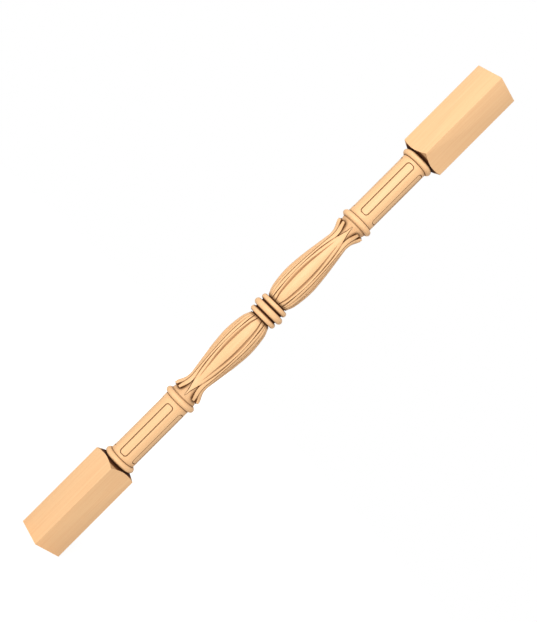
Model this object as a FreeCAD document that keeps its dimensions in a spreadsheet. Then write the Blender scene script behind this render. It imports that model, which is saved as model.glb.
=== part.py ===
import FreeCAD, Part
import math
import os
import Sketcher

# Stair baluster, in millimetres: one length of wood with square ends, turned between them
# and carved on both bulbs. The upper half is modelled from mid-length up and then mirrored.
# Origin at the centre of the bottom face, +Z up, square faces across X and Y.

document = FreeCAD.newDocument("baluster")
sizes = document.addObject("Spreadsheet::Sheet", "sizes")

plain_sizes = {
    "length": 900,  # overall height
    "side_width": 50,  # across the flats of the square ends
    "corner_cut_depth": 5,  # how far the shoulder's cone cuts back the corners
    "shoulder_radius": 24,  # where the flat shoulder turns into its cone
    "shoulder_gap": 0.9,  # clear between the end bead and the shoulder
    "shoulder_root_radius": 19,  # at the bottom of that gap
    "bead_radius": 25,
    "bead_width": 9.5,
    "column_radius": 20.5,
    "column_length": 109.5,  # between the two beads
    "flute_count": 5,
    "flute_width": 12.3,
    "flute_length": 96.4,
    "flute_corner_radius": 5,
    "flute_depth": 1.3,
    "cup_length": 33.3,  # from the neck to the inner bead
    "cup_foot_radius": 14.8,
    "cup_hollow_depth": 1.2,  # how far the cup's curve sinks below a straight cone
    "middle_ring_radius": 25,
    "middle_ring_width": 10,
    "side_ring_radius": 22,
    "side_ring_width": 8.2,
    "ring_gap": 2,  # between the middle ring and a side ring
    "ring_gap_radius": 18,  # at the bottom of that gap
    "foot_gap": 1.3,  # between a side ring and the foot of the bulb
    "foot_gap_radius": 14.6,  # at the bottom of that gap
    "bulb_length": 119.5,  # from its foot to the neck
    "petal_tip_height": 1.4,  # of a petal's point above the cup
    "petal_tip_root_length": 4,  # how far the point runs back into the bulb
    "petal_tip_length": 27.3,  # from the neck to the point of a petal
    "petal_tip_angle": 33,  # of that point, in degrees
    "leaf_thickness": 5.5,  # of a leaf's body, sunk in the bulb
    "leaf_crease_depth": 1.1,  # of the midrib on the bulb
    "lip_length": 14,  # from the neck to where the leaf turns out
    "lip_thickness": 4.4,
    "lip_crease_depth": 2.1,
    "lip_angle": 18,  # tilt of that section, in degrees
    "tip_length": 24.5,  # from the neck to the leaf's free end
    "tip_thickness": 3.6,
    "tip_crease_depth": 2.7,
    "tip_angle": 32,
}

# Sections of a petal up the bulb: height as a share of the bulb's length, radius of its crest,
# half angle of the swelling in its middle, half angle to the outside of the groove beside
# that, and depth of the groove.
petal_sections = {
    "foot": {"height_share": 0, "radius": 16.4, "swell_angle": 10, "groove_angle": 13.5, "depth": 1.2},
    "heel": {"height_share": 0.11, "radius": 21.6, "swell_angle": 14.9, "groove_angle": 20.8, "depth": 1.8},
    "belly": {"height_share": 0.35, "radius": 24.8, "swell_angle": 17, "groove_angle": 26, "depth": 2.6},
    "flank": {"height_share": 0.58, "radius": 23, "swell_angle": 18, "groove_angle": 25.6, "depth": 2.4},
    "waist": {"height_share": 0.8, "radius": 19.4, "swell_angle": 14.2, "groove_angle": 20.4, "depth": 1.3},
    "neck": {"height_share": 1, "radius": 16.4, "swell_angle": 9, "groove_angle": 14, "depth": 0},
}

# Sections of a leaf: radius of its crest, half width, and depth of its edges below the crest.
leaf_sections = {
    "foot": {"radius": 17, "half_width": 2.9, "edge_depth": 0.4},
    "heel": {"radius": 22.3, "half_width": 5.3, "edge_depth": 1},
    "belly": {"radius": 24.8, "half_width": 5.3, "edge_depth": 1},
    "flank": {"radius": 23.5, "half_width": 3.9, "edge_depth": 0.9},
    "waist": {"radius": 20.8, "half_width": 3.5, "edge_depth": 1.1},
    "neck": {"radius": 18, "half_width": 5.6, "edge_depth": 2.3},
    "lip": {"radius": 20.1, "half_width": 7, "edge_depth": 1.4},
    "tip": {"radius": 24.7, "half_width": 5.4, "edge_depth": 0.3},
}

# The petals' relief, as shares of the groove's depth, so that it runs out with the groove:
# how far the edge of the swelling, the rim and the floor under the leaf lie below the crest.
swell_edge_share = 0.25
rim_share = 0.15
floor_share = 0.45
# Where the groove is deepest, as a share of its width, close beside the swelling
groove_bottom_share = 0.35
# How wide the level crest of the swelling is, as a share of the swelling's width
crest_flat_share = 0.33
# The petal's rim ends under the leaf, at this share of the leaf's half width
leaf_cover_share = 0.9
# Where each half of a leaf is highest, as a share of its half width
leaf_crest_share = 0.5

for kind, table in (("petal", petal_sections), ("leaf", leaf_sections)):
    for station, section in table.items():
        for name, number in section.items():
            plain_sizes[f"{kind}_{station}_{name}"] = number

for row, (alias, number) in enumerate(plain_sizes.items(), start=1):
    sizes.set(f"A{row}", alias)
    sizes.set(f"B{row}", str(number))
    sizes.setAlias(f"B{row}", alias)
document.recompute()


def size(text):
    # The number that an expression on the sheet gives now
    return float(sizes.evalExpression(text.replace("sizes.", "")))


# Heights, as expressions on the sheet, from mid-length up
mid = "sizes.length / 2"
middle_ring_end = f"{mid} + sizes.middle_ring_width / 2"
side_ring_start = f"{middle_ring_end} + sizes.ring_gap"
side_ring_end = f"{side_ring_start} + sizes.side_ring_width"
bulb_foot = f"{side_ring_end} + sizes.foot_gap"
neck = f"{bulb_foot} + sizes.bulb_length"
cup_end = f"{neck} + sizes.cup_length"
column_start = f"{cup_end} + sizes.bead_width"
column_end = f"{column_start} + sizes.column_length"
end_bead_end = f"{column_end} + sizes.bead_width"
shoulder = f"{end_bead_end} + sizes.shoulder_gap"

# Each side of the square carries one leaf, and each corner one petal.
side_count = 4
quarter = 360 / side_count


def new_body(name):
    return document.addObject("PartDesign::Body", name)


def origin_feature(body, role):
    return next(item for item in body.Origin.OriginFeatures if item.Role == role)


def new_sketch(body, name, role):
    sketch = body.newObject("Sketcher::SketchObject", name)
    sketch.AttachmentSupport = [(origin_feature(body, role), "")]
    sketch.MapMode = "FlatFace"
    return sketch


def fix_coordinate(sketch, kind, geometry, end, text):
    # Holds a point at a distance from the sketch's axis, or on that axis
    axis = {"DistanceX": -2, "DistanceY": -1}[kind]
    number = size(text)
    if number == 0:
        sketch.addConstraint(Sketcher.Constraint("PointOnObject", geometry, end, axis))
    elif number > 0:
        index = sketch.addConstraint(Sketcher.Constraint(kind, -1, 1, geometry, end, number))
        sketch.setExpression(f"Constraints[{index}]", text)
    else:
        index = sketch.addConstraint(Sketcher.Constraint(kind, geometry, end, -1, 1, -number))
        sketch.setExpression(f"Constraints[{index}]", f"-({text})")


def draw_outline(sketch, corners):
    # Closed outline, anticlockwise through corners given as expressions
    points = [FreeCAD.Vector(size(x), size(y), 0) for x, y in corners]
    lines = []
    for start, finish in zip(points, points[1:] + points[:1]):
        lines.append(sketch.addGeometry(Part.LineSegment(start, finish)))
    for line, after in zip(lines, lines[1:] + lines[:1]):
        sketch.addConstraint(Sketcher.Constraint("Coincident", line, 2, after, 1))
    for line, (x, y) in zip(lines, corners):
        fix_coordinate(sketch, "DistanceX", line, 1, x)
        fix_coordinate(sketch, "DistanceY", line, 1, y)


def bead_corners(foot, crest, start, width):
    # A turned bead's round outline in five flats, from one foot over the crest to the other.
    # The middle flat lies on the crest.
    crest_angle = 72
    return [
        (
            f"{foot} + ({crest} - ({foot})) * sin({angle} deg) / sin({crest_angle} deg)",
            f"{start} + {width} / 2 * (1 - cos({angle} deg))",
        )
        for angle in range(0, 181, crest_angle // 2)
    ]


def cup_corners(rise):
    # The hollow curve up the cup, in two straight steps, lifted by the given rise
    corners = []
    for step in range(3):
        share = f"{step} / 2"
        straight = f"sizes.cup_foot_radius + (sizes.column_radius - sizes.cup_foot_radius) * {share}"
        hollow = f"sizes.cup_hollow_depth * 4 * {share} * (1 - {share})"
        corners.append((f"{straight} - {hollow} + {rise}", f"{neck} + sizes.cup_length * {share}"))
    return corners


def turn(body, name, kind, sketch):
    feature = body.newObject(f"PartDesign::{kind}", name)
    feature.Profile = sketch
    feature.ReferenceAxis = (sketch, ["V_Axis"])
    feature.Angle = 360
    return feature


def around(body, name, feature, copies):
    # Repeats a feature round the axis
    pattern = body.newObject("PartDesign::PolarPattern", name)
    pattern.Originals = [feature]
    pattern.Axis = (origin_feature(body, "Z_Axis"), [""])
    pattern.Angle = 360
    pattern.setExpression("Occurrences", copies)
    body.Tip = pattern
    return pattern


def make_spindle():
    # All that is turned, from mid-length to the shoulder: rings, core, cup, beads and column
    body = new_body("spindle")
    sketch = new_sketch(body, "turned_outline", "XZ_Plane")
    ring_foot = "sizes.ring_gap_radius"
    middle_ring_start = f"{mid} - sizes.middle_ring_width / 2"
    bead = ("sizes.column_radius", "sizes.bead_radius")
    middle_ring = bead_corners(
        ring_foot, "sizes.middle_ring_radius", middle_ring_start, "sizes.middle_ring_width"
    )
    upper_middle_ring = middle_ring[len(middle_ring) // 2:]
    corners = [
        ("0", mid),
        ("sizes.middle_ring_radius", mid),
        *upper_middle_ring,
        *bead_corners(ring_foot, "sizes.side_ring_radius", side_ring_start, "sizes.side_ring_width")[:-1],
        ("sizes.foot_gap_radius", side_ring_end),
        ("sizes.foot_gap_radius", neck),
        *cup_corners("0")[:-1],
        *bead_corners(*bead, cup_end, "sizes.bead_width"),
        *bead_corners(*bead, column_end, "sizes.bead_width")[:-1],
        ("sizes.shoulder_root_radius", end_bead_end),
        ("sizes.shoulder_root_radius", f"{shoulder} + sizes.bead_width"),
        ("0", f"{shoulder} + sizes.bead_width"),
    ]
    draw_outline(sketch, corners)
    turn(body, "turning", "Revolution", sketch)
    return body


def make_flute_slots():
    # Long slots round the column, their corners rounded in two flats, with floors that follow
    # the column's curve
    body = new_body("flute_pads")
    sketch = new_sketch(body, "flute_outline", "YZ_Plane")
    half_width = "sizes.flute_width / 2"
    half_length = "sizes.flute_length / 2"
    centre = f"({column_start} + sizes.column_length / 2)"
    corner = "sizes.flute_corner_radius"
    corners = []
    for first_angle, side, end in ((0, 1, 1), (90, -1, 1), (180, -1, -1), (270, 1, -1)):
        for angle in (first_angle, first_angle + 45, first_angle + 90):
            across = f"{side} * ({half_width} - {corner}) + {corner} * cos({angle} deg)"
            along = f"{centre} + {end} * ({half_length} - {corner}) + {corner} * sin({angle} deg)"
            corners.append((across, along))
    draw_outline(sketch, corners)
    pad = body.newObject("PartDesign::Pad", "flute")
    pad.Profile = sketch
    pad.setExpression("Length", "sizes.bead_radius")
    around(body, "flutes_round", pad, "sizes.flute_count")

    core = document.addObject("Part::Cylinder", "flute_floor")
    core.setExpression("Radius", "sizes.column_radius - sizes.flute_depth")
    core.setExpression("Height", "sizes.column_length")
    core.setExpression("Placement.Base.z", column_start)
    slots = document.addObject("Part::Cut", "flute_slots")
    slots.Base = body
    slots.Tool = core
    return slots


def make_block():
    # Square end, its inner corners turned back to a cone
    body = new_body("block")
    sketch = new_sketch(body, "block_outline", "XY_Plane")
    sketch.setExpression("AttachmentOffset.Base.z", shoulder)
    half = "sizes.side_width / 2"
    corners = [(f"-({half})", f"-({half})"), (half, f"-({half})"), (half, half), (f"-({half})", half)]
    draw_outline(sketch, corners)
    pad = body.newObject("PartDesign::Pad", "square_end")
    pad.Profile = sketch
    pad.setExpression("Length", f"sizes.length - ({shoulder})")
    document.recompute()
    before = pad.Shape.Volume

    cone = new_sketch(body, "shoulder_outline", "XZ_Plane")
    outside = "sizes.side_width"
    corner_radius = "sizes.side_width * sqrt(0.5)"
    slope = f"sizes.corner_cut_depth / ({corner_radius} - sizes.shoulder_radius)"
    below = f"{shoulder} - sizes.corner_cut_depth"
    cone_corners = [
        ("sizes.shoulder_radius", below),
        (outside, below),
        (outside, f"{shoulder} + {slope} * ({outside} - sizes.shoulder_radius)"),
        ("sizes.shoulder_radius", shoulder),
    ]
    draw_outline(cone, cone_corners)
    groove = turn(body, "shoulder_cone", "Groove", cone)
    document.recompute()
    if groove.Shape.Volume >= before:
        raise RuntimeError("the shoulder's cone cut nothing")
    return body


def make_petal_tips():
    # Pointed ends of the petals, lying a little proud on the cup
    cup = new_body("raised_cup")
    sketch = new_sketch(cup, "raised_outline", "XZ_Plane")
    root = f"{neck} - sizes.petal_tip_root_length"
    raised = cup_corners("sizes.petal_tip_height")
    corners = [("0", root), ("sizes.cup_foot_radius", root), *raised, ("0", cup_end)]
    draw_outline(sketch, corners)
    turn(cup, "raised_turning", "Revolution", sketch)

    points = new_body("petal_points")
    outline = new_sketch(points, "point_outline", "YZ_Plane")
    corner_turn = FreeCAD.Rotation(FreeCAD.Vector(0, 1, 0), quarter / 2)
    outline.AttachmentOffset = FreeCAD.Placement(FreeCAD.Vector(), corner_turn)
    tip_length = "(sizes.petal_tip_root_length + sizes.petal_tip_length)"
    half_base = f"{tip_length} * tan(sizes.petal_tip_angle * 0.5 deg)"
    point_corners = [
        (f"-({half_base})", root),
        (half_base, root),
        ("0", f"{neck} + sizes.petal_tip_length"),
    ]
    draw_outline(outline, point_corners)
    pad = points.newObject("PartDesign::Pad", "point")
    pad.Profile = outline
    pad.setExpression("Length", "sizes.bead_radius")
    around(points, "points_round", pad, str(side_count))

    tips = document.addObject("Part::Common", "petal_tips")
    tips.Base = cup
    tips.Tool = points
    return tips


def station_height(station):
    return size(bulb_foot) + size(f"petal_{station}_height_share") * size("bulb_length")


def petal_section(station):
    # One level round the bulb: at each corner a swelling between two grooves and two rims,
    # and at each side a plain floor for the leaf
    crest = size(f"petal_{station}_radius")
    swell = size(f"petal_{station}_swell_angle")
    groove = size(f"petal_{station}_groove_angle")
    depth = size(f"petal_{station}_depth")
    leaf_radius = size(f"leaf_{station}_radius")
    leaf_angle = math.degrees(math.asin(size(f"leaf_{station}_half_width") / leaf_radius))
    rim_end = quarter / 2 - leaf_cover_share * leaf_angle
    swell_edge = crest - swell_edge_share * depth
    bottom = swell_edge - depth
    rim = crest - rim_share * depth
    floor = crest - floor_share * depth
    height = station_height(station)

    def place(angle, radius, petal):
        bearing = math.radians(quarter / 2 + petal * quarter + angle)
        return FreeCAD.Vector(radius * math.cos(bearing), radius * math.sin(bearing), height)

    # Half a petal from its crest outwards, in straight cuts
    flank = [
        (crest_flat_share * swell, crest),
        (swell, swell_edge),
        (swell + groove_bottom_share * (groove - swell), bottom),
        (groove, rim),
        (rim_end, floor),
    ]
    corners = []
    for petal in range(side_count):
        corners.extend(place(-angle, radius, petal) for angle, radius in reversed(flank))
        corners.extend(place(angle, radius, petal) for angle, radius in flank)
    return Part.makePolygon(corners + corners[:1])


def leaf_section(station, height, thickness, crease, tilt):
    # Level through the leaf on the +X side: two rounded halves that meet in the midrib
    crest = size(f"leaf_{station}_radius")
    half_width = size(f"leaf_{station}_half_width")
    edge_depth = size(f"leaf_{station}_edge_depth")
    lean = math.radians(tilt)

    def place(down, across):
        return FreeCAD.Vector(crest - down * math.cos(lean), across, height + down * math.sin(lean))

    crest_place = leaf_crest_share * half_width
    across = [
        (crease, 0),
        (0, crest_place),
        (edge_depth, half_width),
        (thickness, half_width),
        (thickness, -half_width),
        (edge_depth, -half_width),
        (0, -crest_place),
        (crease, 0),
    ]
    return Part.makePolygon([place(down, side) for down, side in across])


def make_petals():
    feature = document.addObject("Part::Feature", "petals")
    feature.Shape = Part.makeLoft([petal_section(station) for station in petal_sections], True, False)
    return feature


def make_leaves():
    # One leaf from the foot of the bulb to its free tip, turned to each side of the square
    thickness = size("leaf_thickness")
    crease = size("leaf_crease_depth")
    sections = [
        leaf_section(station, station_height(station), thickness, crease, 0)
        for station in petal_sections
    ]
    for end in ("lip", "tip"):
        height = size(neck) + size(f"{end}_length")
        thickness = size(f"{end}_thickness")
        crease = size(f"{end}_crease_depth")
        sections.append(leaf_section(end, height, thickness, crease, size(f"{end}_angle")))
    leaf = Part.makeLoft(sections, True, False)
    leaves = []
    for number in range(side_count):
        feature = document.addObject("Part::Feature", f"leaf_{number + 1}")
        feature.Shape = leaf
        turned = FreeCAD.Rotation(FreeCAD.Vector(0, 0, 1), number * quarter)
        feature.Placement = FreeCAD.Placement(FreeCAD.Vector(), turned)
        leaves.append(feature)
    return leaves


fluted = document.addObject("Part::Cut", "fluted_spindle")
fluted.Base = make_spindle()
fluted.Tool = make_flute_slots()

half = document.addObject("Part::MultiFuse", "upper_half")
half.Shapes = [fluted, make_petals(), make_petal_tips(), *make_leaves(), make_block()]
document.recompute()


def holds_point(shape, radius, bearing, height):
    turned = FreeCAD.Rotation(FreeCAD.Vector(0, 0, 1), bearing)
    point = turned.multVec(FreeCAD.Vector(radius, 0, height))
    return shape.isInside(point, 0.01, True)


# A fuse can drop a piece and still give a valid solid, so a place inside each kind is tried.
leaf_middle = size("leaf_belly_radius - leaf_thickness / 2")
petal_middle = size("petal_belly_radius - petal_belly_depth")
for number in range(side_count):
    for radius, bearing in ((leaf_middle, number * quarter), (petal_middle, (number + 0.5) * quarter)):
        if not holds_point(half.Shape, radius, bearing, station_height("belly")):
            raise RuntimeError("a leaf or a petal was lost from the upper half")

mirrored = document.addObject("Part::Mirroring", "lower_half")
mirrored.Source = half
mirrored.Normal = FreeCAD.Vector(0, 0, 1)
mirrored.setExpression("Base.z", mid)

baluster = document.addObject("Part::MultiFuse", "baluster")
baluster.Label = "baluster"
baluster.Shapes = [half, mirrored]
baluster.Refine = True
document.recompute()

for item in document.Objects:
    if "Invalid" in item.State or "Error" in item.State:
        raise RuntimeError(f"{item.Label} did not build: {item.State}")
parts = [baluster]
for part in parts:
    if part.Shape.isNull() or not part.Shape.isValid() or len(part.Shape.Solids) != 1:
        raise RuntimeError(f"{part.Label} is not one valid solid")

os.makedirs("parts", exist_ok=True)
for part in parts:
    part.Shape.exportStep(f"parts/{part.Label}.step")
    print(part.Label, "volume", round(part.Shape.Volume), "mm3,", len(part.Shape.Faces), "faces")
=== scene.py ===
import math

import bpy
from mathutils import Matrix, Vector


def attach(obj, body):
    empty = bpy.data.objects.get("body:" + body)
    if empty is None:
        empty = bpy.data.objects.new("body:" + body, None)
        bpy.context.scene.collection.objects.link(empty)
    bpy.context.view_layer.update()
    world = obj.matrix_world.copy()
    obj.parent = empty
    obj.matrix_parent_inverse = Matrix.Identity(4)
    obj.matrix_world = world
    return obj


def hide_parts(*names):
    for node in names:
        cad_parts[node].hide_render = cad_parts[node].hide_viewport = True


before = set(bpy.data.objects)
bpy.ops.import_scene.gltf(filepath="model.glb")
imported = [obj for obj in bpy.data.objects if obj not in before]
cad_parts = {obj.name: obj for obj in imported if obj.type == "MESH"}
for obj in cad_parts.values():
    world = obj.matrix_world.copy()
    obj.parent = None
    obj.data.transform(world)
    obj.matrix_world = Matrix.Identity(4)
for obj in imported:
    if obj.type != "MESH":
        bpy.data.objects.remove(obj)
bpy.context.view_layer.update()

mm = 0.001  # the baluster's sizes below are in millimetres
middle = 450  # height of mid-length, where the two halves meet; rises count from there
sides = 4  # leaves on the faces, petals on the corners
quarter = 360 / sides  # degrees from one petal or leaf to the next
mergeReach = 0.02  # points closer than this become one
smoothAngle = 32  # degrees, sharper edges stay crisp


def deselectAll():
    if bpy.context.mode != "OBJECT":
        bpy.ops.object.mode_set(mode="OBJECT")
    bpy.ops.object.select_all(action="DESELECT")


def pick(piece):
    deselectAll()
    piece.select_set(True)
    bpy.context.view_layer.objects.active = piece


def curveThrough(stops):
    # smooth curve through (place, value) stops, level past the first and the last
    places = [stop[0] for stop in stops]
    values = [stop[1] for stop in stops]
    slopes = []
    for index in range(len(stops)):
        low = max(index - 1, 0)
        high = min(index + 1, len(stops) - 1)
        slopes.append((values[high] - values[low]) / (places[high] - places[low]))

    def at(place):
        place = min(max(place, places[0]), places[-1])
        index = 0
        while index < len(places) - 2 and place > places[index + 1]:
            index += 1
        run = places[index + 1] - places[index]
        share = (place - places[index]) / run
        left = 1 - share
        before = left**2 * (values[index] * (1 + 2 * share) + slopes[index] * run * share)
        after = share**2 * (values[index + 1] * (3 - 2 * share) - slopes[index + 1] * run * left)
        return before + after

    return at


def cleanUp(piece):
    # seams merged, open ends filled, faces turned outwards
    pick(piece)
    bpy.ops.object.mode_set(mode="EDIT")
    bpy.ops.mesh.select_all(action="SELECT")
    bpy.ops.mesh.remove_doubles(threshold=mergeReach * mm)
    bpy.ops.mesh.select_all(action="DESELECT")
    bpy.ops.mesh.select_mode(type="EDGE")
    bpy.ops.mesh.select_non_manifold(
        extend=False, use_wire=False, use_multi_face=False, use_non_contiguous=False, use_verts=False
    )
    bpy.ops.mesh.fill_holes(sides=0)
    bpy.ops.mesh.select_all(action="SELECT")
    bpy.ops.mesh.normals_make_consistent(inside=False)
    bpy.ops.mesh.select_mode(type="VERT")
    bpy.ops.object.mode_set(mode="OBJECT")


def turned(name, outline, steps):
    # drawn as one line of points from axis to axis, then spun round Z
    deselectAll()
    start = Vector((outline[0][0] * mm, 0, (middle + outline[0][1]) * mm))
    bpy.ops.mesh.primitive_plane_add(size=1, location=start)
    piece = bpy.context.object
    piece.name = name
    bpy.ops.object.transform_apply(location=True)
    bpy.ops.object.mode_set(mode="EDIT")
    bpy.ops.mesh.select_all(action="SELECT")
    bpy.ops.mesh.merge(type="CENTER")
    for (radius, rise), (lastRadius, lastRise) in zip(outline[1:], outline):
        move = ((radius - lastRadius) * mm, 0, (rise - lastRise) * mm)
        bpy.ops.mesh.extrude_vertices_move(TRANSFORM_OT_translate={"value": move})
    bpy.ops.mesh.select_all(action="SELECT")
    bpy.ops.mesh.spin(steps=steps, angle=math.tau, center=(0, 0, 0), axis=(0, 0, 1))
    cleanUp(piece)
    return piece


def bead(foot, crest, start, width, steps=18):
    # round outline of a bead, foot to foot
    points = []
    for step in range(steps + 1):
        angle = math.pi * step / steps
        radius = foot + (crest - foot) * math.sin(angle)
        points.append((radius, start + width / 2 * (1 - math.cos(angle))))
    return points


def lofted(name, rings):
    # a grid wrapped round, one row for each ring of points
    around = len(rings[0])
    deselectAll()
    bpy.ops.mesh.primitive_grid_add(x_subdivisions=around, y_subdivisions=len(rings) - 1, size=1)
    piece = bpy.context.object
    piece.name = name
    places = []
    for ring in rings:
        for x, y, rise in ring + ring[:1]:
            places.extend((x * mm, y * mm, (middle + rise) * mm))
    piece.data.vertices.foreach_set("co", places)
    piece.data.update()
    cleanUp(piece)
    return piece


def copyOf(piece, name):
    pick(piece)
    bpy.ops.object.duplicate(linked=False)
    twin = bpy.context.object
    twin.name = name
    return twin


def turnedCopy(piece, name, degrees):
    # copy turned about the baluster's axis, with the turn in its mesh
    twin = copyOf(piece, name)
    twin.rotation_euler = (0, 0, math.radians(degrees))
    bpy.ops.object.transform_apply(location=False, rotation=True, scale=False)
    return twin


def mirroredCopy(piece, name):
    # the same piece on the lower half
    twin = copyOf(piece, name)
    bpy.ops.object.mode_set(mode="EDIT")
    bpy.ops.mesh.select_all(action="SELECT")
    bpy.ops.transform.resize(value=(1, 1, -1), center_override=(0, 0, middle * mm))
    bpy.ops.mesh.normals_make_consistent(inside=False)
    bpy.ops.object.mode_set(mode="OBJECT")
    return twin


def keepInside(piece, mould):
    # only what lies inside the mould stays, and the mould is used up
    modifier = piece.modifiers.new("keepInside", "BOOLEAN")
    modifier.operation = "INTERSECT"
    modifier.solver = "EXACT"
    modifier.object = mould
    pick(piece)
    bpy.ops.object.modifier_apply(modifier=modifier.name)
    bpy.data.objects.remove(mould, do_unlink=True)


def axisDistance(point):
    return math.hypot(point.x, point.y) / mm


def riseOf(polygon):
    return polygon.center.z / mm - middle


def outwardShare(polygon):
    # 1 where a face looks straight away from the axis
    outwards = Vector((polygon.center.x, polygon.center.y, 0)).normalized()
    return polygon.normal.dot(outwards)


def paintShadeOnFaces(piece, shareOf):
    # painted shade on each face: 1 is nearly black, 0 bare wood,
    # and -1 bare wood kept clear of the painted shade in cuts and hollows
    paintedShade = piece.data.attributes.new("paintedShade", "FLOAT", "FACE")
    for polygon in piece.data.polygons:
        paintedShade.data[polygon.index].value = min(max(shareOf(polygon), -1), 1)


# middle rings
ringSizes = {
    "middleRadius": 25,
    "middleWidth": 10,
    "gap": 2,
    "gapRadius": 18,
    "sideRadius": 22,
    "sideWidth": 8.2,
    "footGap": 1.3,
    "footRadius": 15,
    "overrun": 1,  # into the bulb
    # painted shade beside the ring gaps, full at the first radius and none past the second
    "paintedShadeFull": 18.6,  # radius, as the next one
    "paintedShadeNone": 20.6,
    "steps": 128,
}


def makeRings(size):
    half = size["middleWidth"] / 2
    sideStart = half + size["gap"]
    sideEnd = sideStart + size["sideWidth"]
    end = sideEnd + size["footGap"] + size["overrun"]
    middleFoot = size["middleRadius"] - half
    gap = size["gapRadius"]
    foot = size["footRadius"]
    upper = [
        (gap, half),
        *bead(gap, size["sideRadius"], sideStart, size["sideWidth"]),
        (foot, sideEnd),
        (foot, end),
        (0, end),
    ]
    lower = [(radius, -rise) for radius, rise in reversed(upper)]
    ring = bead(middleFoot, size["middleRadius"], -half, size["middleWidth"])
    rings = turned("middleRings", lower + ring + upper, size["steps"])
    fade = size["paintedShadeNone"] - size["paintedShadeFull"]

    # painted shade, darker towards the gaps between the rings
    def gapPaintedShade(polygon):
        return max(size["paintedShadeNone"] - axisDistance(polygon.center), 0) / fade

    paintShadeOnFaces(rings, gapPaintedShade)
    return rings


# cup below the inner bead, and the bead at the block
collarSizes = {
    "neck": 136,
    "footRadius": 14.3,
    "columnRadius": 20.5,
    "cupLength": 33.3,
    "cupHollow": 1.2,
    "cupQuirk": 1.6,
    "quirkFloorShare": 1 / 3,  # of the cup's quirk
    "quirkDepth": 0.7,
    "beadRadius": 25,
    "beadWidth": 9.5,
    "endBead": 288.3,
    "rootRadius": 19,
    "rootLength": 4,
    "overrun": 2,  # under the column
    # painted shade over the cup and in the quirk beside the bead
    "cupPaintedShade": 0.08,
    "quirkPaintedShade": 0.3,
    "cupSteps": 16,
    "steps": 128,
}


def cupRadius(rise):
    # straight taper, hollowed most at half its length
    size = collarSizes
    share = (rise - size["neck"]) / size["cupLength"]
    straight = size["footRadius"] + (size["columnRadius"] - size["footRadius"]) * share
    return straight - size["cupHollow"] * 4 * share * (1 - share)


def makeCup(size):
    cupEnd = size["neck"] + size["cupLength"]
    cup = []
    for step in range(size["cupSteps"] + 1):
        rise = size["neck"] + (size["cupLength"] - size["cupQuirk"]) * step / size["cupSteps"]
        cup.append((cupRadius(rise), rise))
    foot = size["columnRadius"] - size["quirkDepth"]
    beadLine = bead(foot, size["beadRadius"], cupEnd, size["beadWidth"])
    quirk = (foot, cupEnd - size["cupQuirk"] * size["quirkFloorShare"])
    under = cupEnd + size["beadWidth"] + size["overrun"]
    outline = [(0, size["neck"]), *cup, quirk, *beadLine, (foot, under), (0, under)]
    piece = turned("cup", outline, size["steps"])

    # painted shade: a little over the cup under the leaf tips, more in the quirk beside the bead
    def cupPaintedShade(polygon):
        below = cupEnd - riseOf(polygon)
        if below < 0:
            return 0
        return size["quirkPaintedShade"] if below < size["cupQuirk"] else size["cupPaintedShade"]

    paintShadeOnFaces(piece, cupPaintedShade)
    return piece


def makeEndBead(size):
    foot = size["columnRadius"] - size["quirkDepth"]
    beadLine = bead(foot, size["beadRadius"], size["endBead"], size["beadWidth"])
    under = size["endBead"] - size["overrun"]
    beadEnd = size["endBead"] + size["beadWidth"]
    root = size["rootRadius"]
    rootEnd = beadEnd + size["rootLength"]  # inside the block
    outline = [(0, under), (foot, under), *beadLine, (root, beadEnd), (root, rootEnd), (0, rootEnd)]
    return turned("endBead", outline, size["steps"])


# round column and its flutes
columnSizes = {
    "start": 179.5,
    "end": 287.6,
    "radius": 20.4,
    "centre": 234.8,
    "count": 5,
    "width": 13.6,
    "length": 96.6,
    "corner": 5,
    "depth": 0.6,
    "wallRun": 0.5,
    "innerRunShare": 1 / 3,  # of the wall's run, for the small wall inside the border
    "borderWidth": 0.9,
    "borderDepth": 0.5,
    # painted shade along the flutes' incised borders and walls
    "borderPaintedShade": 0.42,
    "wallPaintedShade": 0.2,
    "wallTurn": 0.8,  # a face that looks outwards less than this is a wall
    "rounding": 0.001,
    "cornerSteps": 16,
    "floorSteps": 4,
    "plainSteps": 10,
}


def fluteHalfWidth(size, inset, rise):
    # half the width of the flute's rounded outline drawn in by inset, 0 past its ends
    corner = size["corner"] - inset
    halfWidth = size["width"] / 2 - inset
    past = abs(rise - size["centre"]) - (size["length"] / 2 - size["corner"])
    if past > corner + size["rounding"]:
        return 0
    return halfWidth - corner + math.sqrt(max(corner**2 - max(past, 0) ** 2, 0))


def columnRing(size, levels, rise):
    # one half of a flute, from its lip in to its middle line
    flank = []
    radius = size["radius"]
    for inset, levelRadius in levels:
        halfWidth = fluteHalfWidth(size, inset, rise)
        if halfWidth > 0:
            radius = levelRadius
        flank.append((math.degrees(math.asin(halfWidth / radius)), radius))
    lip = flank[0][0]
    floorEdge = flank[-1][0]
    for step in range(1, size["floorSteps"] + 1):
        flank.append((floorEdge * (1 - step / size["floorSteps"]), radius))
    # both halves, then the plain wood up to the next flute
    across = [(-angle, reach) for angle, reach in flank] + flank[-2::-1]
    pitch = 360 / size["count"]
    for step in range(1, size["plainSteps"]):
        across.append((lip + (pitch - 2 * lip) * step / size["plainSteps"], size["radius"]))
    ring = []
    for number in range(size["count"]):
        for angle, reach in across:
            bearing = math.radians(number * pitch + angle)
            ring.append((reach * math.cos(bearing), reach * math.sin(bearing), rise))
    return ring


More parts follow.
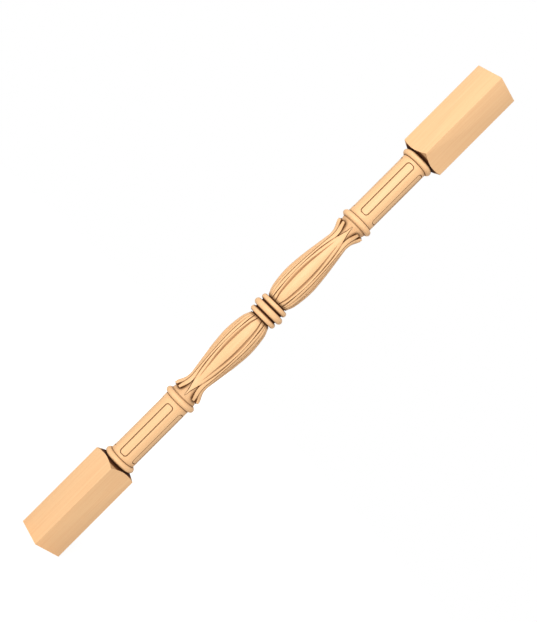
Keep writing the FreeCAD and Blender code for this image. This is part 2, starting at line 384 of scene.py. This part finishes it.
def makeColumn(size):
    # leaning wall, narrow incised border, then the floor raised a little inside it
    floor = size["radius"] - size["depth"]
    border = floor - size["borderDepth"]
    borderEnd = size["wallRun"] + size["borderWidth"]
    levels = [
        (0, size["radius"]),
        (size["wallRun"], border),
        (borderEnd, border),
        (borderEnd + size["wallRun"] * size["innerRunShare"], floor),
    ]
    straight = size["length"] / 2 - size["corner"]
    cornerStep = math.pi / 2 / size["cornerSteps"]
    reaches = [size["corner"] * math.sin(cornerStep * step) for step in range(size["cornerSteps"])]
    reaches = sorted(reaches + [size["corner"] - inset for inset, levelRadius in levels])
    rises = [size["start"]] + [size["centre"] - straight - reach for reach in reversed(reaches)]
    rises += [size["centre"] + straight + reach for reach in reaches] + [size["end"]]
    column = lofted("column", [columnRing(size, levels, rise) for rise in rises])

    # painted shade on the flutes' walls and in their incised borders
    def flutePaintedShade(polygon):
        sunk = size["radius"] - axisDistance(polygon.center)
        if outwardShare(polygon) < size["wallTurn"]:
            return size["wallPaintedShade"] if sunk < size["depth"] else size["borderPaintedShade"]
        return size["borderPaintedShade"] if sunk > size["depth"] + size["borderDepth"] / 2 else 0

    paintShadeOnFaces(column, flutePaintedShade)
    return column


# square end with its turned shoulder
blockSizes = {
    "side": 50,
    "shoulder": 298.7,
    "end": 450,
    "flatRadius": 24,
    "cornerCut": 5,
    "arris": 0.5,
    "arrisSteps": 3,
    "overrun": 5,  # cut away by the turning, or past the end
    "turningReach": 3,  # past the corners
    "undersideTurn": -0.3,  # a face that looks down more than this is the shoulder's
    "steps": 160,
}


def makeBlock(size):
    deselectAll()
    height = size["end"] - size["shoulder"] + size["overrun"]
    bpy.ops.mesh.primitive_cube_add(size=1, location=(0, 0, (middle + size["end"] - height / 2) * mm))
    block = bpy.context.object
    block.name = "block"
    block.scale = (size["side"] * mm, size["side"] * mm, height * mm)
    bpy.ops.object.transform_apply(location=True, scale=True)
    bpy.ops.object.mode_set(mode="EDIT")
    bpy.ops.mesh.select_all(action="SELECT")
    bpy.ops.mesh.bevel(offset=size["arris"] * mm, segments=size["arrisSteps"], affect="EDGES")
    bpy.ops.object.mode_set(mode="OBJECT")
    corner = size["side"] * math.sqrt(0.5)  # from the axis
    slope = size["cornerCut"] / (corner - size["flatRadius"])
    reach = corner + size["turningReach"]
    outline = [
        (0, size["shoulder"]),
        (size["flatRadius"], size["shoulder"]),
        (reach, size["shoulder"] + slope * (reach - size["flatRadius"])),
        (reach, size["end"] + size["overrun"]),
        (0, size["end"] + size["overrun"]),
    ]
    keepInside(block, turned("shoulderTurning", outline, size["steps"]))

    # painted shade, full, on the shoulder's underside
    def shoulderPaintedShade(polygon):
        return 1 if polygon.normal.z < size["undersideTurn"] else 0

    paintShadeOnFaces(block, shoulderPaintedShade)
    return block


# carved bulb, from its foot at the rings to its neck under the cup
bulbFoot = 16.5
bulbNeck = collarSizes["neck"]
# painted shade at the bulb's foot
footShade = {"paintedShade": 0.5, "reach": 4.2}


def footPaintedShade(polygon):
    # painted shade, darker towards the gap beside the rings
    aboveFoot = riseOf(polygon) - bulbFoot
    return footShade["paintedShade"] * max(1 - aboveFoot / footShade["reach"], 0)


# petals at the corners, with their points up the cup
petalSizes = {
    # (rise, value) stops: radius, half angles of the swelling and to the groove's far side, groove's depth
    "crest": [(16.5, 16.4), (29.6, 21.6), (58.3, 24.8), (85.8, 23), (112.1, 19.4), (136, 15.8)],
    "swell": [(16.5, 10), (29.6, 14.9), (58.3, 17), (85.8, 18), (112.1, 14.2), (136, 9)],
    "groove": [(16.5, 14.5), (29.6, 23.5), (58.3, 29.5), (85.8, 29), (112.1, 22), (136, 14)],
    "depth": [(16.5, 1.3), (29.6, 2), (58.3, 2.8), (85.8, 2.6), (112.1, 1.3), (136, 0)],
    # shares of the groove's depth
    "swellDrop": 0.25,
    "rimDrop": 0.15,
    "rimLift": 0.2,
    "rimFall": 0.4,
    "floorDrop": 0.6,
    "grooveSkew": 0.65,  # under 1 the groove is deepest near the swelling
    "grooveShares": (0.04, 0.1, 0.18, 0.28, 0.4, 0.54, 0.68, 0.84, 1),
    "rimReach": 0.9,  # share of the leaf's half angle where the rim ends
    "wallLean": 0.15,  # degrees
    "wallDrop": 0.05,
    # points up the cup
    "tipReach": 163.8,
    "tipAngle": 31,
    "tipLap": 0.3,  # degrees
    "tipRise": 1.4,
    "tipRoot": 1,
    "tipSwell": 0.3,  # shares of the point's half angle
    "tipFlat": 0.5,
    "tipBevel": 1.5,
    "bevelRoot": 0.2,
    "bevelRun": 8,
    # painted shade
    "tipPaintedShade": 0.65,
    "tipFade": 6,
    "bevelTurn": 0.85,  # a face that looks outwards less than this is bevelled
    "wallUnshaded": 0.8,
    "wallTurn": 0.25,  # a face that looks sideways more than this is a wall
    "groovePaintedShade": 0.3,
    "groovePaintedShadeFrom": 0.5,  # shares of the groove's depth
    "groovePaintedShadeFull": 0.9,
    "leastDepth": 0.5,
    "steps": 5,
    "levels": 80,
    "tipLevels": 24,
}


def petalRing(size, curves, rise):
    leafAngle = math.degrees(math.asin(leafCurves["halfWidth"](rise) / leafCurves["crest"](rise)))
    faceAngle = quarter / 2  # from a corner to the middle of a face
    if rise <= bulbNeck:
        crest = curves["crest"](rise)
        swell = curves["swell"](rise)
        groove = curves["groove"](rise)
        depth = max(curves["depth"](rise), 0)
        rimEnd = faceAngle - size["rimReach"] * leafAngle
        sunk = crest - size["floorDrop"] * depth
    else:
        crest = cupRadius(rise) + size["tipRise"]
        halfWidth = (size["tipReach"] - rise) * math.tan(math.radians(size["tipAngle"] / 2))
        rimEnd = math.degrees(halfWidth / crest) + size["tipLap"]
        swell = size["tipSwell"] * rimEnd
        groove = max(rimEnd - math.degrees(size["tipBevel"] / crest), size["tipFlat"] * rimEnd)
        depth = 0
        sunk = cupRadius(rise) - size["tipRoot"]
    swellEdge = crest - size["swellDrop"] * depth
    rim = crest - size["rimDrop"] * depth
    steps = size["steps"]
    flank = []
    for step in range(1, steps + 1):  # swelling
        share = step / steps
        flank.append((swell * share, crest - (crest - swellEdge) * share**2))
    for share in size["grooveShares"]:  # groove, steeper beside the swelling
        line = swellEdge + (rim - swellEdge) * share
        fall = math.sin(math.pi * share ** size["grooveSkew"])
        flank.append((swell + (groove - swell) * share, line - depth * fall))
    for step in range(1, steps + 1):  # rim up to the leaf
        share = step / steps
        lift = size["rimLift"] * depth * math.sin(math.pi * share) - size["rimFall"] * depth * share**3
        if rise > bulbNeck:  # bevelled edge of the point
            bevel = min((rise - bulbNeck) / size["bevelRun"], 1)
            lift = -(size["tipRise"] + size["bevelRoot"]) * share * bevel
        flank.append((groove + (rimEnd - groove) * share, rim + lift))
    flank.append((rimEnd + size["wallLean"], min(sunk, flank[-1][1] - size["wallDrop"])))
    flank.append(((rimEnd + faceAngle) / 2, sunk))
    across = [(-angle, radius) for angle, radius in reversed(flank)] + [(0, crest)] + flank
    ring = []
    for petal in range(sides):
        for angle, radius in across:
            bearing = math.radians(faceAngle + quarter * petal + angle)
            ring.append((radius * math.cos(bearing), radius * math.sin(bearing), rise))
    return ring


def makePetals(size):
    curves = {name: curveThrough(size[name]) for name in ("crest", "swell", "groove", "depth")}
    bulbRun = bulbNeck - bulbFoot
    rises = [bulbFoot + bulbRun * step / size["levels"] for step in range(size["levels"] + 1)]
    tipRun = size["tipReach"] - bulbNeck
    rises += [bulbNeck + tipRun * step / size["tipLevels"] for step in range(1, size["tipLevels"] + 1)]
    petals = lofted("petals", [petalRing(size, curves, rise) for rise in rises])
    paintedShadeRun = size["groovePaintedShadeFull"] - size["groovePaintedShadeFrom"]

    # painted shade on the points' bevels, in the grooves and at the foot
    def petalPaintedShade(polygon):
        rise = riseOf(polygon)
        if rise > bulbNeck:
            bevelled = outwardShare(polygon) < size["bevelTurn"]
            return size["tipPaintedShade"] * min((rise - bulbNeck) / size["tipFade"], 1) if bevelled else 0
        centre = polygon.center
        fromCrest = math.degrees(math.atan2(centre.y, centre.x)) % quarter - quarter / 2
        sideways = polygon.normal.dot(Vector((-centre.y, centre.x, 0)).normalized())
        # faces looking away from the crest get only the foot's painted shade, and steep walls among them
        # are kept clear of the painted shade from cuts and hollows, so they read lit
        if sideways * fromCrest > 0:  # looks away from the petal's crest
            return footPaintedShade(polygon) - (size["wallUnshaded"] if abs(sideways) > size["wallTurn"] else 0)
        sunk = curves["crest"](rise) - axisDistance(centre)
        sunkShare = sunk / max(curves["depth"](rise), size["leastDepth"])
        inGroove = min(max((sunkShare - size["groovePaintedShadeFrom"]) / paintedShadeRun, 0), 1)
        return max(footPaintedShade(polygon), size["groovePaintedShade"] * inGroove)

    paintShadeOnFaces(petals, petalPaintedShade)
    return petals


# leaves on the faces, from the foot to the free tip
leafSizes = {
    # the lists are (rise, value) stops
    "crest": [
        (16.5, 17), (29.6, 22.3), (58.3, 24.8), (85.8, 23.5), (112.1, 20.8), (128, 18.9),
        (136, 18), (142, 18.1), (146, 18.7), (150, 20), (154.8, 22.3), (160.2, 24.95),
    ],
    "halfWidth": [
        (16.5, 2.9), (29.6, 5.3), (58.3, 5.3), (85.8, 3.9), (112.1, 3.5), (136, 5.6),
        (145, 6.6), (150, 7), (155, 7.3), (160.2, 7.3),
    ],
    "drop": [
        (16.5, 0.4), (29.6, 1), (58.3, 1), (85.8, 0.9), (112.1, 1.1), (136, 2.3),
        (150, 1.3), (154.6, 0.6), (160.2, 0.1),
    ],
    "thickness": [(16.5, 5.5), (112.1, 5.5), (136, 5.5), (150, 4.2), (160.2, 3.6)],
    "crease": [
        (16.5, 0.8), (58.3, 1.2), (112.1, 1.2), (136, 1.3), (150, 1.6), (155, 2.4), (160.2, 3.2),
    ],
    "creaseShare": [
        (16.5, 0.3), (58.3, 0.24), (112.1, 0.3), (136, 0.24), (150, 0.18), (155, 0.3), (160.2, 0.48),
    ],
    "undercut": [(16.5, 0.04), (120, 0.04), (140, 0.1), (150, 0.24), (160.2, 0.34)],
    "tilt": [(16.5, 0), (112.1, 0), (136, 0), (150, 20), (160.2, 30)],
    # painted shade along the crease and the edges, by rise
    "creasePaintedShade": [(16.5, 0.05), (30, 0.1), (50, 0.34), (120, 0.3), (147, 0.24), (160.2, 0.6)],
    "flankPaintedShade": [(16.5, 0.8), (35, 0.6), (60, 0.45), (125, 0.4), (138, 0.1), (145, 0), (160.2, 0)],
    "creaseWall": ((0, 1), (0.35, 0.55), (0.7, 0.18), (1, 0)),  # shares of its width and depth
    "edgeShares": (0.35, 0.7, 1),  # down the leaf's edge
    "backShares": (0.5, 0, -0.5),  # across its back
    "endShrink": 0.95,
    "endPush": 0.08,
    "endPaintedShade": 0.4,
    "endTurn": 0.6,  # a face near the tip that looks up more than this is its end
    "endReach": 2,
    "creaseReach": 0.8,  # share of the crease that gets painted shade
    "edgeReach": 0.88,  # share of the half width where the edge begins
    "flankTurn": 0.7,  # a face that looks sideways more than this is the edge
    "topSteps": 6,
    "levels": 90,
}
leafCurves = {name: curveThrough(stops) for name, stops in leafSizes.items() if isinstance(stops, list)}


def leafRing(size, rise, shrink, push):
    # one section across a leaf that looks along X, leaning out near the tip
    crest = leafCurves["crest"](rise)
    width = leafCurves["halfWidth"](rise) * shrink
    drop = leafCurves["drop"](rise)
    thickness = leafCurves["thickness"](rise)
    crease = leafCurves["crease"](rise)
    creaseShare = leafCurves["creaseShare"](rise)
    undercut = leafCurves["undercut"](rise)
    lean = math.radians(max(leafCurves["tilt"](rise), 0))
    top = [(creaseShare * across, crease * down) for across, down in size["creaseWall"]]
    for step in range(1, size["topSteps"] + 1):
        share = step / size["topSteps"]
        top.append((creaseShare + (1 - creaseShare) * share, drop * share**2))
    section = [(down, -width * share) for share, down in reversed(top)]
    section += [(down, width * share) for share, down in top[1:]]
    for share in size["edgeShares"]:
        section.append((drop + (thickness - drop) * share, width * (1 - undercut * share)))
    for share in size["backShares"]:
        section.append((thickness, width * (1 - undercut) * share))
    for share in reversed(size["edgeShares"]):
        section.append((drop + (thickness - drop) * share, -width * (1 - undercut * share)))
    middleDown = thickness / 2
    ring = []
    for down, across in section:
        down = middleDown + (down - middleDown) * shrink
        x = crest - down * math.cos(lean) + push * math.sin(lean)
        ring.append((x, across, rise + down * math.sin(lean) + push * math.cos(lean)))
    return ring


def makeLeaf(size):
    tip = size["crest"][-1][0]
    leafRun = tip - bulbFoot
    rises = [bulbFoot + leafRun * step / size["levels"] for step in range(size["levels"] + 1)]
    rings = [leafRing(size, rise, 1, 0) for rise in rises]
    rings.append(leafRing(size, tip, size["endShrink"], size["endPush"]))  # end cut square, its edge eased
    leaf = lofted("leaf", rings)

    # painted shade on the end, the crease, the edges and the foot
    def leafPaintedShade(polygon):
        rise = riseOf(polygon)
        if polygon.normal.z > size["endTurn"] and rise > tip - size["endReach"]:
            return size["endPaintedShade"]  # painted shade on the square end
        fromRib = abs(polygon.center.y) / mm
        halfWidth = leafCurves["halfWidth"](rise)
        creaseEdge = leafCurves["creaseShare"](rise) * halfWidth
        if polygon.normal.x > 0 and fromRib < size["creaseReach"] * creaseEdge:
            return max(leafCurves["creasePaintedShade"](rise), footPaintedShade(polygon))
        if fromRib > size["edgeReach"] * halfWidth or abs(polygon.normal.y) > size["flankTurn"]:
            return max(leafCurves["flankPaintedShade"](rise), footPaintedShade(polygon))
        return footPaintedShade(polygon)

    paintShadeOnFaces(leaf, leafPaintedShade)
    return leaf


def joined(pieces, name):
    deselectAll()
    for piece in pieces:
        piece.select_set(True)
    bpy.context.view_layer.objects.active = pieces[0]
    bpy.ops.object.join()
    whole = bpy.context.object
    whole.name = name
    whole.data.name = name
    bpy.ops.object.shade_smooth_by_angle(angle=math.radians(smoothAngle))
    return whole


upper = [makeCup(collarSizes), makeEndBead(collarSizes), makeColumn(columnSizes), makeBlock(blockSizes)]
print("turned and squared pieces made")
upper.append(makePetals(petalSizes))
firstLeaf = makeLeaf(leafSizes)
upper += [firstLeaf] + [turnedCopy(firstLeaf, "leaf", quarter * number) for number in range(1, sides)]
print("petals and leaves carved")
lower = [mirroredCopy(piece, piece.name + "Lower") for piece in upper]
baluster = joined([makeRings(ringSizes)] + upper + lower, "carvedBaluster")
print("baluster joined,", len(baluster.data.polygons), "faces")


def linear(code):
    # sRGB hex to the linear colour a shader takes
    channels = [int(code[place:place + 2], 16) / 255 for place in (1, 3, 5)]
    return [c / 12.92 if c <= 0.04045 else ((c + 0.055) / 1.055) ** 2.4 for c in channels] + [1]


def addNode(tree, kind, settings=None, links=None):
    # one node, its plain settings, and what feeds its inputs
    node = tree.nodes.new(kind)
    for name, value in (settings or {}).items():
        if isinstance(name, int) or name in node.inputs:
            node.inputs[name].default_value = value
        else:
            setattr(node, name, value)
    for name, source in (links or {}).items():
        tree.links.new(source, node.inputs[name])
    return node


woodSizes = {
    "pale": "#FCCD99",
    "deep": "#F8C490",
    "fleck": "#E4B07C",
    # painted shade: a brown for light shade, near black for full
    "shadeBrown": "#643A14",
    "paintedShade": "#401C04",
    "streakWidth": 2.2,
    "streakLength": 90,
    "fleckWidth": 0.9,
    "fleckLength": 7,
    "fleckStrength": 0.12,
    "cutReach": 7,
    "hollowReach": 24,
    "shadeSamples": 24,
    "paintedShadeFull": 24.5,  # radius, as the next one
    "paintedShadeEdge": 29.5,
    "paintedShadeLeast": 0.22,
    "roughness": 0.5,
    "shadedRoughness": 0.95,
    "streakDepth": 0.1,
}


def grainScale(width, length):
    # noise cells of one width across the grain, drawn out along it
    return (1 / (width * mm), 1 / (width * mm), 1 / (length * mm))


def makeWood(size):
    # beech, turned, carved and sanded bare: pale honey ground, faint long streaks,
    # short darker flecks, low sheen, and painted shade in cuts, hollows and marked faces
    material = bpy.data.materials.new("sandedBeech")
    material.use_nodes = True
    tree = material.node_tree
    tree.nodes.clear()
    place = addNode(tree, "ShaderNodeTexCoord")
    streakPlace = addNode(
        tree,
        "ShaderNodeVectorMath",
        {"operation": "MULTIPLY", 1: grainScale(size["streakWidth"], size["streakLength"])},
        {0: place.outputs["Object"]},
    )
    streaks = addNode(
        tree,
        "ShaderNodeTexNoise",
        {"Scale": 1, "Detail": 4, "Roughness": 0.6},
        {"Vector": streakPlace.outputs[0]},
    )
    fleckPlace = addNode(
        tree,
        "ShaderNodeVectorMath",
        {"operation": "MULTIPLY", 1: grainScale(size["fleckWidth"], size["fleckLength"])},
        {0: place.outputs["Object"]},
    )
    flecks = addNode(
        tree,
        "ShaderNodeTexNoise",
        {"Scale": 1, "Detail": 1, "Roughness": 0.5},
        {"Vector": fleckPlace.outputs[0]},
    )
    ground = addNode(
        tree,
        "ShaderNodeMapRange",
        {"From Min": 0.35, "From Max": 0.68},
        {"Value": streaks.outputs["Fac"]},
    )
    dark = addNode(
        tree,
        "ShaderNodeMapRange",
        {"From Min": 0.62, "From Max": 0.78, "To Max": size["fleckStrength"]},
        {"Value": flecks.outputs["Fac"]},
    )
    wash = addNode(
        tree,
        "ShaderNodeMix",
        {"data_type": "RGBA", 6: linear(size["pale"]), 7: linear(size["deep"])},
        {0: ground.outputs["Result"]},
    )
    colour = addNode(
        tree,
        "ShaderNodeMix",
        {"data_type": "RGBA", 7: linear(size["fleck"])},
        {0: dark.outputs["Result"], 6: wash.outputs[2]},
    )
    # painted shade: narrow cuts and deeper hollows are darkened by occlusion, the same from any side
    cuts = addNode(
        tree,
        "ShaderNodeAmbientOcclusion",
        {"samples": size["shadeSamples"], "only_local": True, "Distance": size["cutReach"] * mm},
    )
    hollows = addNode(
        tree,
        "ShaderNodeAmbientOcclusion",
        {"samples": size["shadeSamples"], "only_local": True, "Distance": size["hollowReach"] * mm},
    )
    inCuts = addNode(
        tree,
        "ShaderNodeMapRange",
        {"From Min": 0.45, "From Max": 0.94, "To Min": 1, "To Max": 0},
        {"Value": cuts.outputs["AO"]},
    )
    inHollows = addNode(
        tree,
        "ShaderNodeMapRange",
        {"From Min": 0.3, "From Max": 0.66, "To Min": 1, "To Max": 0},
        {"Value": hollows.outputs["AO"]},
    )
    inRecess = addNode(
        tree,
        "ShaderNodeMath",
        {"operation": "MAXIMUM"},
        {0: inCuts.outputs["Result"], 1: inHollows.outputs["Result"]},
    )
    # each face's own painted shade, which thins outwards past the beads, over the shoulders' corners
    paintedShade = addNode(tree, "ShaderNodeAttribute", {"attribute_name": "paintedShade"})
    flatPlace = addNode(
        tree,
        "ShaderNodeVectorMath",
        {"operation": "MULTIPLY", 1: (1, 1, 0)},
        {0: place.outputs["Object"]},
    )
    fromAxis = addNode(tree, "ShaderNodeVectorMath", {"operation": "LENGTH"}, {0: flatPlace.outputs[0]})
    outwards = addNode(
        tree,
        "ShaderNodeMapRange",
        {
            "From Min": size["paintedShadeFull"] * mm,
            "From Max": size["paintedShadeEdge"] * mm,
            "To Min": 1,
            "To Max": size["paintedShadeLeast"],
        },
        {"Value": fromAxis.outputs["Value"]},
    )
    facePaintedShade = addNode(
        tree,
        "ShaderNodeMath",
        {"operation": "MULTIPLY"},
        {0: paintedShade.outputs["Fac"], 1: outwards.outputs["Result"]},
    )
    # below 0 the face is kept clear of the painted shade from cuts and hollows
    aoShadeAllowed = addNode(
        tree,
        "ShaderNodeMapRange",
        {"From Min": -1, "From Max": 0},
        {"Value": facePaintedShade.outputs[0]},
    )
    aoPaintedShade = addNode(
        tree,
        "ShaderNodeMath",
        {"operation": "MULTIPLY"},
        {0: inRecess.outputs[0], 1: aoShadeAllowed.outputs["Result"]},
    )
    # light painted shade is the brown, full painted shade nearly black
    browned = addNode(tree, "ShaderNodeMapRange", {"From Max": 0.5}, {"Value": facePaintedShade.outputs[0]})
    blackened = addNode(tree, "ShaderNodeMapRange", {"From Min": 0.5}, {"Value": facePaintedShade.outputs[0]})
    brownShadeShare = addNode(
        tree,
        "ShaderNodeMath",
        {"operation": "MAXIMUM"},
        {0: aoPaintedShade.outputs[0], 1: browned.outputs["Result"]},
    )
    darkened = addNode(
        tree,
        "ShaderNodeMix",
        {"data_type": "RGBA", 7: linear(size["shadeBrown"])},
        {0: brownShadeShare.outputs[0], 6: colour.outputs[2]},
    )
    shadedColour = addNode(
        tree,
        "ShaderNodeMix",
        {"data_type": "RGBA", 7: linear(size["paintedShade"])},
        {0: blackened.outputs["Result"], 6: darkened.outputs[2]},
    )
    # rougher where the painted shade lies
    matt = addNode(
        tree,
        "ShaderNodeMapRange",
        {"To Min": size["roughness"], "To Max": size["shadedRoughness"]},
        {"Value": brownShadeShare.outputs[0]},
    )
    bump = addNode(
        tree,
        "ShaderNodeBump",
        {"Strength": 0.08, "Distance": size["streakDepth"] * mm},
        {"Height": streaks.outputs["Fac"]},
    )
    shader = addNode(
        tree,
        "ShaderNodeBsdfPrincipled",
        {"IOR": 1.45, "Specular IOR Level": 0.3},
        {
            "Base Color": shadedColour.outputs[2],
            "Roughness": matt.outputs["Result"],
            "Normal": bump.outputs["Normal"],
        },
    )
    addNode(tree, "ShaderNodeOutputMaterial", {}, {"Surface": shader.outputs["BSDF"]})
    return material


baluster.data.materials.clear()
baluster.data.materials.append(makeWood(woodSizes))
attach(baluster, "root")
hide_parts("baluster")
print("wood finished")


# stage, in metres
stageSizes = {
    "floorSide": 8,
    "paper": "#F0EFEC",
    "glow": 1.25,
    "shadowShare": 0.3,  # of the paper's own shading, beside the foot
    "shadowStart": 0.1,
    "shadowEnd": 1.2,
    "key": {"place": (-2.05, -1.2, 1.15), "aim": (0, 0, 0.45), "side": 0.9, "watts": 42},
    "ambient": 0.45,
}


def whiteToCamera(tree):
    # plain white where the camera, or a mirror or glass, sees it
    ray = addNode(tree, "ShaderNodeLightPath")
    seen = addNode(
        tree,
        "ShaderNodeMath",
        {"operation": "MAXIMUM"},
        {0: ray.outputs["Is Camera Ray"], 1: ray.outputs["Is Glossy Ray"]},
    )
    return addNode(
        tree,
        "ShaderNodeMath",
        {"operation": "MAXIMUM"},
        {0: seen.outputs[0], 1: ray.outputs["Is Transmission Ray"]},
    )


def makeFloor(size):
    # matt white paper, bright enough to meet the background, dark only where shadow falls
    deselectAll()
    bpy.ops.mesh.primitive_plane_add(size=size["floorSide"], location=(0, 0, 0))
    floor = bpy.context.object
    floor.name = "paperFloor"
    material = bpy.data.materials.new("mattPaper")
    material.use_nodes = True
    tree = material.node_tree
    tree.nodes.clear()
    seen = whiteToCamera(tree)
    paper = addNode(tree, "ShaderNodeBsdfDiffuse", {"Color": linear(size["paper"])})
    glow = addNode(tree, "ShaderNodeEmission", {"Color": (1, 1, 1, 1), "Strength": size["glow"]})
    place = addNode(tree, "ShaderNodeTexCoord")
    away = addNode(tree, "ShaderNodeVectorMath", {"operation": "LENGTH"}, {0: place.outputs["Object"]})
    glowShare = addNode(
        tree,
        "ShaderNodeMapRange",
        {
            "From Min": size["shadowStart"],
            "From Max": size["shadowEnd"],
            "To Min": 1 - size["shadowShare"],
            "To Max": 1,
        },
        {"Value": away.outputs["Value"]},
    )
    bright = addNode(
        tree,
        "ShaderNodeMixShader",
        {},
        {0: glowShare.outputs["Result"], 1: paper.outputs[0], 2: glow.outputs[0]},
    )
    mixed = addNode(
        tree,
        "ShaderNodeMixShader",
        {},
        {0: seen.outputs[0], 1: paper.outputs[0], 2: bright.outputs[0]},
    )
    addNode(tree, "ShaderNodeOutputMaterial", {}, {"Surface": mixed.outputs[0]})
    floor.data.materials.append(material)


def makeLamp(name, size):
    # soft square lamp turned to its aim
    deselectAll()
    bpy.ops.object.light_add(type="AREA", location=size["place"])
    lamp = bpy.context.object
    lamp.name = name
    lamp.data.size = size["side"]
    lamp.data.energy = size["watts"]
    lamp.rotation_euler = (Vector(size["aim"]) - lamp.location).to_track_quat("-Z", "Y").to_euler()


def makeWorld(size):
    # even white light from all round
    world = bpy.data.worlds.new("whiteStudio")
    bpy.context.scene.world = world
    world.use_nodes = True
    tree = world.node_tree
    tree.nodes.clear()
    seen = whiteToCamera(tree)
    soft = addNode(tree, "ShaderNodeBackground", {"Color": (1, 1, 1, 1), "Strength": size["ambient"]})
    white = addNode(tree, "ShaderNodeBackground", {"Color": (1, 1, 1, 1), "Strength": 1})
    mixed = addNode(
        tree,
        "ShaderNodeMixShader",
        {},
        {0: seen.outputs[0], 1: soft.outputs[0], 2: white.outputs[0]},
    )
    addNode(tree, "ShaderNodeOutputWorld", {}, {"Surface": mixed.outputs[0]})


makeFloor(stageSizes)
makeLamp("keyLamp", stageSizes["key"])
makeWorld(stageSizes)
bpy.context.scene.view_settings.view_transform = "Standard"
print("floor and light set")

# metres and degrees, with the sensor and the lens in millimetres
cameraSizes = {
    "distance": 1.513,
    "bearing": 225,
    "height": 0.45,
    "roll": 45,
    "sensor": 36,
    "lens": 62.74,
}


def makeCamera(size):
    # level with mid-length, square on to one corner, rolled so the top points up and to the right
    deselectAll()
    bearing = math.radians(size["bearing"])
    place = (size["distance"] * math.cos(bearing), size["distance"] * math.sin(bearing), size["height"])
    bpy.ops.object.camera_add(location=place)
    camera = bpy.context.object
    camera.data.sensor_fit = "VERTICAL"
    camera.data.sensor_height = size["sensor"]
    camera.data.lens = size["lens"]
    look = (Vector((0, 0, size["height"])) - camera.location).to_track_quat("-Z", "Y")
    camera.rotation_euler = look.to_euler()
    camera.rotation_euler.rotate_axis("Z", math.radians(size["roll"]))
    bpy.context.scene.camera = camera


makeCamera(cameraSizes)
print("camera placed")
